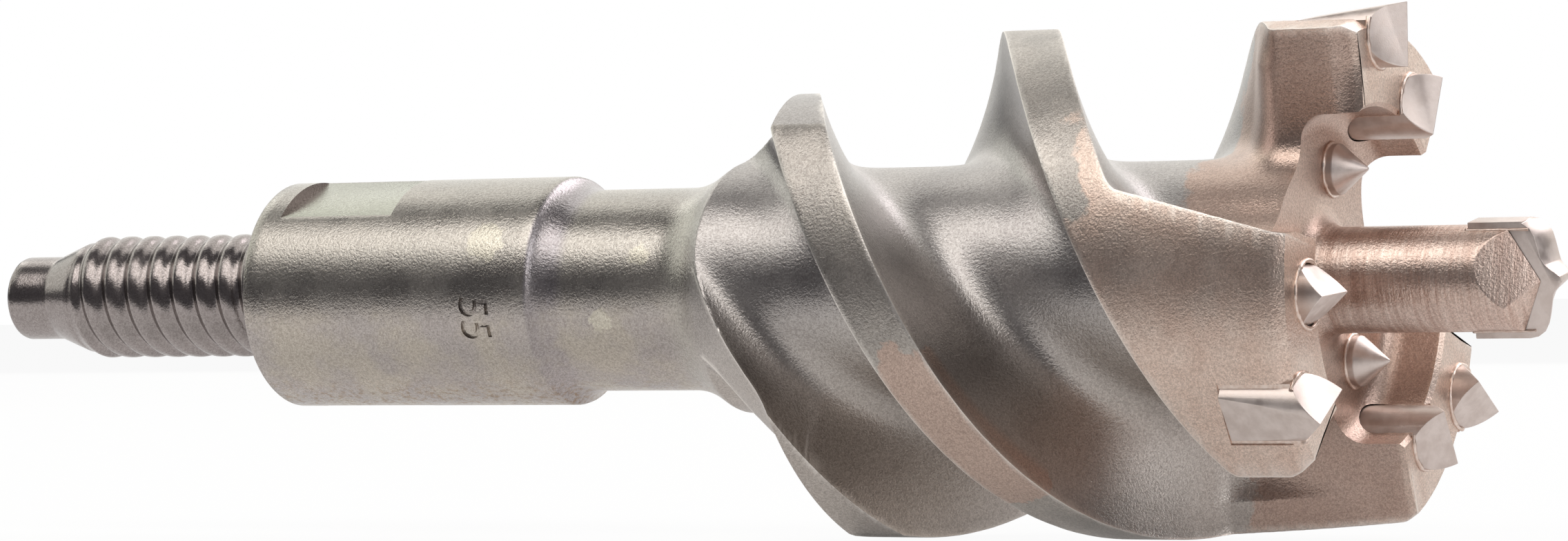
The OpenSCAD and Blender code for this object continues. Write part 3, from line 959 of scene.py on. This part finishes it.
class Finish:
    """A material being built up from procedural nodes on Object coordinates."""

    def __init__(self, name):
        self.material = bpy.data.materials.new(name)
        self.tree, self.out = emptied(self.material, "ShaderNodeOutputMaterial")
        self.shader = self.tree.nodes.new("ShaderNodeBsdfPrincipled")
        self.tree.links.new(self.shader.outputs[0], self.out.inputs["Surface"])
        coord = self.tree.nodes.new("ShaderNodeTexCoord")
        self.place = coord.outputs["Object"]
        split = self.node("ShaderNodeSeparateXYZ", Vector=self.place)
        self.x, self.y, self.z = split.outputs[0], split.outputs[1], split.outputs[2]

    def node(self, kind, settings=None, **inputs):
        n = self.tree.nodes.new(kind)
        for key, value in (settings or {}).items():
            setattr(n, key, value)
        for key, value in inputs.items():
            self.put(n.inputs[key.replace("_", " ")], value)
        return n

    def put(self, socket, value):
        """Feeds an input from another node's output, or sets it to a value."""
        if isinstance(value, bpy.types.NodeSocket):
            self.tree.links.new(value, socket)
        else:
            socket.default_value = value

    def math(self, op, a, b=0.0):
        n = self.tree.nodes.new("ShaderNodeMath")
        n.operation = op
        for socket, value in zip(n.inputs, (a, b)):
            self.put(socket, value)
        return n.outputs[0]

    def mul(self, a, b):
        return self.math("MULTIPLY", a, b)

    def add(self, a, b):
        return self.math("ADD", a, b)

    def sub(self, a, b):
        return self.math("SUBTRACT", a, b)

    def span(self, value, lo, hi, to_lo=0.0, to_hi=1.0):
        """Smooth step from to_lo to to_hi while a value goes from lo to hi, up or down."""
        n = self.tree.nodes.new("ShaderNodeMapRange")
        n.interpolation_type = "SMOOTHSTEP"
        ends = {"Value": value, "From Min": lo, "From Max": hi, "To Min": to_lo, "To Max": to_hi}
        for key, v in ends.items():
            self.put(n.inputs[key], v)
        return n.outputs[0]

    def grain(self, per_mm, detail=3.0, rough=0.55, stretch=None, offset=0.0):
        """Noise with a number of grains per millimetre."""
        place = self.place
        if stretch or offset:
            m = self.tree.nodes.new("ShaderNodeMapping")
            self.put(m.inputs["Vector"], place)
            if stretch:
                m.inputs["Scale"].default_value = stretch
            m.inputs["Location"].default_value = (offset, offset * 0.7, -offset)
            place = m.outputs[0]
        n = self.node("ShaderNodeTexNoise", Vector=place, Scale=per_mm / MM, Detail=detail,
                      Roughness=rough)
        return n.outputs["Fac"]

    def ragged(self, value, noise, swing):
        """A value that noise moves up and down, for a border that isn't straight."""
        return self.add(value, self.mul(self.sub(noise, 0.5), swing))

    def distance(self, point):
        """Distance from a point, in millimetres."""
        n = self.node("ShaderNodeVectorMath", {"operation": "DISTANCE"})
        self.put(n.inputs[0], self.place)
        n.inputs[1].default_value = point
        return self.mul(n.outputs["Value"], 1 / MM)

    def blend(self, fac, a, b, kind="MIX"):
        n = self.tree.nodes.new("ShaderNodeMix")
        n.data_type = "RGBA"
        n.blend_type = kind
        self.put(n.inputs["Factor"], fac)
        self.put(n.inputs["A"], a)
        self.put(n.inputs["B"], b)
        return n.outputs["Result"]

    def bump(self, height, strength, distance_mm):
        n = self.node("ShaderNodeBump", Height=height, Strength=strength,
                      Distance=distance_mm * MM)
        return n.outputs[0]

    def done(self, color, roughness, normal):
        """The finished material: all of them are metal."""
        self.put(self.shader.inputs["Base Color"], color)
        self.put(self.shader.inputs["Metallic"], 1.0)
        self.put(self.shader.inputs["Roughness"], roughness)
        self.put(self.shader.inputs["Normal"], normal)
        return self.material


# Pale spots on the collar and the neck, the first two painted highlights in the key light's
# reflection and the last a stain: station, radius, angle, reach
HIGHLIGHT_AND_STAIN_SPOTS = ((29.9, COLLAR_R, 64.0, 2.2), (48.0, NECK_R, 69.5, 1.1), (43.4, NECK_R, 107.3, 1.2))


def blasted_steel():
    """Blasted steel in zones. Stations, heights and radii are in millimetres."""
    f = Finish("blasted steel")
    square = f.add(f.mul(f.y, f.y), f.mul(f.z, f.z))
    radial = f.mul(f.math("SQRT", square), 1 / MM)
    x = f.mul(f.x, 1 / MM)
    z = f.mul(f.z, 1 / MM)
    cloud = f.grain(0.11, 4.0, 0.6)
    patch = f.grain(0.20, 5.0, 0.62, offset=0.013)
    stain = f.grain(0.16, 5.0, 0.6, offset=0.041)
    pits = f.grain(1.3, 3.0, 0.7, offset=0.023)
    speck = f.grain(3.4, 2.0, 0.6)
    fine = f.grain(6.5, 2.0, 0.5)
    land = f.span(radial, 25.75, 25.86)
    fluted = f.span(x, 53.5, 56.5)
    spigot = f.span(x, 0.3, 0.05)

    # Bare steel by zone: warm grey collar and neck, cooler flutes with painted light from
    # below that makes them paler low down, warm lands, darker spigot and thread
    color = f.blend(f.span(cloud, 0.35, 0.68), srgb(190, 185, 178), srgb(209, 203, 195))
    flute = f.blend(f.span(cloud, 0.35, 0.65), srgb(184, 179, 177), srgb(204, 199, 196))
    # Painted light: the flutes' underside is made paler, standing in for light from the floor
    # below
    flute = f.blend(f.mul(f.span(z, 2.0, -14.0), 0.6), flute, srgb(214, 204, 195))
    color = f.blend(fluted, color, flute)
    lands = f.blend(f.span(patch, 0.35, 0.65), srgb(188, 182, 176), srgb(206, 199, 192))
    color = f.blend(land, color, lands)
    color = f.blend(spigot, color, srgb(168, 160, 158))

    # Painted shade on the spanner flats' end walls, lavender cove, dark stamp, faintly green
    # flats
    geometry = f.node("ShaderNodeNewGeometry")
    facing = f.node("ShaderNodeSeparateXYZ", Vector=geometry.outputs["Normal"]).outputs[0]
    # Painted shade: the flats' end walls, picked by facing ahead, are painted dark
    wall = f.mul(f.span(facing, 0.25, 0.5), f.span(x, 9.0, 8.0))
    wall = f.mul(wall, f.span(x, 1.0, 1.6))
    color = f.blend(f.mul(wall, 0.9), color, srgb(92, 80, 80))
    coved = f.mul(f.span(x, 34.9, 35.3), f.span(x, 39.5, 37.6))
    color = f.blend(coved, color, srgb(186, 180, 182))
    flat = f.mul(f.span(radial, COLLAR_R - 0.04, COLLAR_R - 0.12),
                 f.mul(f.span(x, 17.5, 17.2), f.span(x, 1.0, 1.6)))
    flat = f.mul(flat, f.sub(1.0, wall))
    stamped = f.mul(f.span(radial, COLLAR_R - 0.04, COLLAR_R - 0.14), f.span(x, 25.5, 26.0))
    stamped = f.mul(stamped, f.span(x, 33.0, 32.5))
    color = f.blend(f.mul(stamped, 0.55), color, srgb(70, 62, 62))
    color = f.blend(flat, color, srgb(200, 201, 188))

    # Pale soft-edged stains low on the collar and the neck, pale spots (painted highlights and a
    # stain), rust underneath
    low = f.mul(f.span(z, 1.0, -4.0), f.span(x, 54.0, 50.0))
    low = f.mul(low, f.sub(1.0, spigot))
    color = f.blend(f.mul(low, 0.7), color, srgb(192, 183, 181))
    stained = f.mul(f.span(stain, 0.40, 0.62), low)
    color = f.blend(f.mul(stained, 0.7), color, srgb(208, 199, 185))
    # Two of the spots are painted highlights, brighter patches in the key light's reflection on
    # the collar and the neck; the third, low on the neck, is a stain.
    for station, radius, angle, reach in HIGHLIGHT_AND_STAIN_SPOTS:
        edge = f.ragged(f.distance(polar(station, radius, angle)), pits, 2.4)
        highlight_and_stain = f.span(edge, reach + 0.25, reach - 0.25)
        color = f.blend(f.mul(highlight_and_stain, 0.75), color, srgb(226, 220, 204))
    rust = f.mul(f.span(z, -8.5, -12.0), f.sub(1.0, fluted))
    color = f.blend(f.mul(rust, f.span(pits, 0.45, 0.7)), color, srgb(160, 132, 100))

    # Heat tint: copper at the crown, with a soft torn border, and a blot on the first land.
    # It is deeper inside the crown, and shows the post's turning marks.
    border = f.ragged(x, patch, 16.0)
    border = f.sub(border, f.mul(f.sub(1.0, land), 5.5))
    hot = f.span(border, 104.0, 105.5)
    away = f.ragged(f.distance(polar(90.0, 26.0, 126.0)), patch, 12.0)
    blot = f.mul(f.span(away, 10.6, 9.8), f.span(radial, 23.0, 24.5))
    copper = f.blend(f.span(patch, 0.3, 0.7), srgb(230, 204, 189), srgb(239, 219, 206))
    inside = f.mul(f.span(radial, LAND_R - 0.3, LAND_R - 0.8),
                   f.span(x, CROWN - 0.4, CROWN - 1.0))
    copper = f.blend(f.mul(inside, 0.7), copper, srgb(200, 173, 160))
    post = f.mul(f.span(radial, 5.75, 5.45), f.span(x, 120.6, 121.6))
    marks = f.grain(2.2, 4.0, 0.7, stretch=(1.0, 0.05, 0.05), offset=0.007)
    marked = f.blend(f.span(marks, 0.3, 0.7), srgb(208, 180, 167), srgb(238, 216, 204))
    copper = f.blend(post, copper, marked)
    color = f.blend(hot, color, copper)
    color = f.blend(f.mul(blot, 0.85), color, srgb(216, 190, 176))

    # Dark pores, the blasting's grain, bright worn edges
    color = f.blend(f.mul(f.span(speck, 0.40, 0.30), 0.35), color, srgb(84, 76, 74))
    color = f.blend(f.mul(f.span(pits, 0.30, 0.24), 0.5), color, srgb(92, 82, 76))
    wear = f.node("ShaderNodeAttribute", {"attribute_name": "wear"}).outputs["Fac"]
    for noise, share in ((speck, 0.46), (fine, 0.38)):
        color = f.blend(f.span(noise, 0.36, 0.64, 0.0, share), color, srgb(190, 186, 184),
                        "MULTIPLY")
    color = f.blend(f.mul(wear, 0.85), color, srgb(244, 238, 232))
    rough = f.add(f.span(cloud, 0.3, 0.7, 0.23, 0.32), f.mul(spigot, -0.06))
    rough = f.add(rough, f.mul(land, 0.05))
    rough = f.add(rough, f.mul(fluted, 0.06))
    height = f.add(f.mul(speck, 0.65), f.mul(fine, 0.35))
    height = f.add(height, f.mul(post, f.mul(marks, 0.8)))
    strength = f.sub(1.0, f.mul(spigot, 0.6))
    return f.done(color, rough, f.bump(height, strength, 0.06))


def ground_carbide():
    """Carbide with a fine satin grind."""
    f = Finish("ground carbide")
    cloud = f.grain(0.6, 3.0, 0.6)
    fine = f.grain(9.0, 2.0, 0.6)
    color = f.blend(f.span(cloud, 0.3, 0.7), srgb(204, 190, 183), srgb(222, 210, 204))
    normal = f.bump(fine, 0.5, 0.02)
    return f.done(color, f.span(cloud, 0.3, 0.7, 0.36, 0.46), normal)


def dull_braze():
    """Braze with a dull, slightly lumpy skin."""
    f = Finish("dull braze")
    cloud = f.grain(1.5, 3.0, 0.6)
    color = f.blend(f.span(cloud, 0.3, 0.7), srgb(212, 188, 174), srgb(232, 216, 206))
    normal = f.bump(f.grain(4.0), 0.6, 0.05)
    return f.done(color, 0.34, normal)


def store_wear(obj):
    """Marks how near each point lies to a worn edge, for the material."""
    tree = KDTree(len(edge_points))
    for i, p in enumerate(edge_points):
        tree.insert(p, i)
    tree.balance()
    layer = obj.data.attributes.new("wear", "FLOAT", "POINT")
    for i, v in enumerate(obj.data.vertices):
        layer.data[i].value = 1.0 - ease(tree.find(v.co)[2] / (WEAR_REACH * MM))


steel = blasted_steel()
carbide = ground_carbide()
braze = dull_braze()

body = make_body(steel)
store_wear(body)
for k in range(3):
    n = str(k + 1)
    a = ARM * k
    make_tooth("outer_tooth_" + n, OUTER_D, OUTER_L, a, OUTER_POS, OUTER_TOP, True, carbide)
    make_tooth("inner_tooth_" + n, INNER_D, INNER_L, a + INNER_TURN, INNER_POS, INNER_TOP,
               False, carbide)
    make_pin("pin_tooth_" + n, a + PIN_TURN, carbide)
    for kind in ("outer", "inner", "pin"):
        make_braze(kind + "_braze_" + n, kind, k, braze)
make_plate(carbide)
make_pilot_braze(braze)


# Floor, background and light, in metres

FLOOR_HALF = 3.0
FLOOR_FRONT = 0.11
FLOOR_BELOW = 26.2 * MM
# How much of the floor's look is plain white to the camera and in reflections
CAMERA_WHITE = 0.94
GLOSSY_WHITE = 0.27


def mixed(tree, out, factor, first, second):
    """Mixes two shaders by a factor into an output node."""
    mixer = tree.nodes.new("ShaderNodeMixShader")
    for i, socket in enumerate((factor, first.outputs[0], second.outputs[0])):
        tree.links.new(socket, mixer.inputs[i])
    tree.links.new(mixer.outputs[0], out.inputs["Surface"])


def make_stage():
    """A pale floor, which ends a little in front of the tool."""
    bm = bmesh.new()
    bmesh.ops.create_grid(bm, x_segments=1, y_segments=1, size=FLOOR_HALF)
    bmesh.ops.translate(bm, verts=bm.verts, vec=(0, FLOOR_HALF - FLOOR_FRONT, -FLOOR_BELOW))
    floor = linked("floor", bm)
    mat = bpy.data.materials.new("pale floor")
    tree, out = emptied(mat, "ShaderNodeOutputMaterial")
    plain = tree.nodes.new("ShaderNodeBsdfDiffuse")
    plain.inputs["Color"].default_value = (0.8, 0.8, 0.8, 1)
    white = tree.nodes.new("ShaderNodeEmission")
    path = tree.nodes.new("ShaderNodeLightPath")
    both = tree.nodes.new("ShaderNodeMath")
    rays = (("Is Camera Ray", CAMERA_WHITE), ("Is Glossy Ray", GLOSSY_WHITE))
    for i, (ray, amount) in enumerate(rays):
        share = tree.nodes.new("ShaderNodeMath")
        share.operation = "MULTIPLY"
        share.inputs[1].default_value = amount
        tree.links.new(path.outputs[ray], share.inputs[0])
        tree.links.new(share.outputs[0], both.inputs[i])
    mixed(tree, out, both.outputs[0], plain, white)
    floor.data.materials.append(mat)


def make_world():
    """White to the camera, dim to everything else."""
    world = bpy.data.worlds.new("studio")
    bpy.context.scene.world = world
    tree, out = emptied(world, "ShaderNodeOutputWorld")
    back = tree.nodes.new("ShaderNodeBackground")
    white = tree.nodes.new("ShaderNodeBackground")
    back.inputs["Color"].default_value = (0.10, 0.098, 0.105, 1)
    white.inputs["Color"].default_value = (1, 1, 1, 1)
    path = tree.nodes.new("ShaderNodeLightPath")
    mixed(tree, out, path.outputs["Is Camera Ray"], back, white)


def lamp(name, place, aim, size_x, size_y, watts, color=(1, 1, 1)):
    """A rectangular light that looks at a point."""
    data = bpy.data.lights.new(name, "AREA")
    data.shape = "RECTANGLE"
    data.size, data.size_y = size_x, size_y
    data.energy = watts
    data.color = color
    obj = bpy.data.objects.new(name, data)
    bpy.context.scene.collection.objects.link(obj)
    obj.location = Vector(place)
    obj.rotation_mode = "QUATERNION"
    obj.rotation_quaternion = (Vector(aim) - Vector(place)).to_track_quat("-Z", "Y")


def softbox(name, elevation, distance, span_x, span_up, radiance, at, color):
    """Panel beside a station, at an elevation: 0 is the camera's side, 180 the far side."""
    t = math.radians(elevation)
    place = (at, -math.cos(t) * distance, math.sin(t) * distance)
    watts = radiance * math.pi * span_x * span_up
    lamp(name, place, (at, 0, 0), span_x, span_up, watts, color)


make_stage()
make_world()
softbox("key", 54, 0.62, 0.95, 0.38, 2.2, at=0.0, color=(1.0, 0.98, 0.94))
softbox("back", 140, 0.85, 1.9, 1.40, 1.15, at=0.06, color=(1.0, 1.0, 0.95))
lamp("left", (-0.80, 0.10, 0.42), (0.08, 0, 0), 0.9, 0.6, 1.8, (0.97, 1.0, 0.92))
lamp("rim", (0.38, 0.54, 0.57), (0.09, 0, 0), 0.75, 0.45, 2.3, (1.0, 0.94, 1.0))
lamp("right", (0.85, -0.25, 0.30), (0.08, 0, 0), 0.35, 0.5, 1.5)

bpy.context.scene.view_settings.view_transform = "Standard"
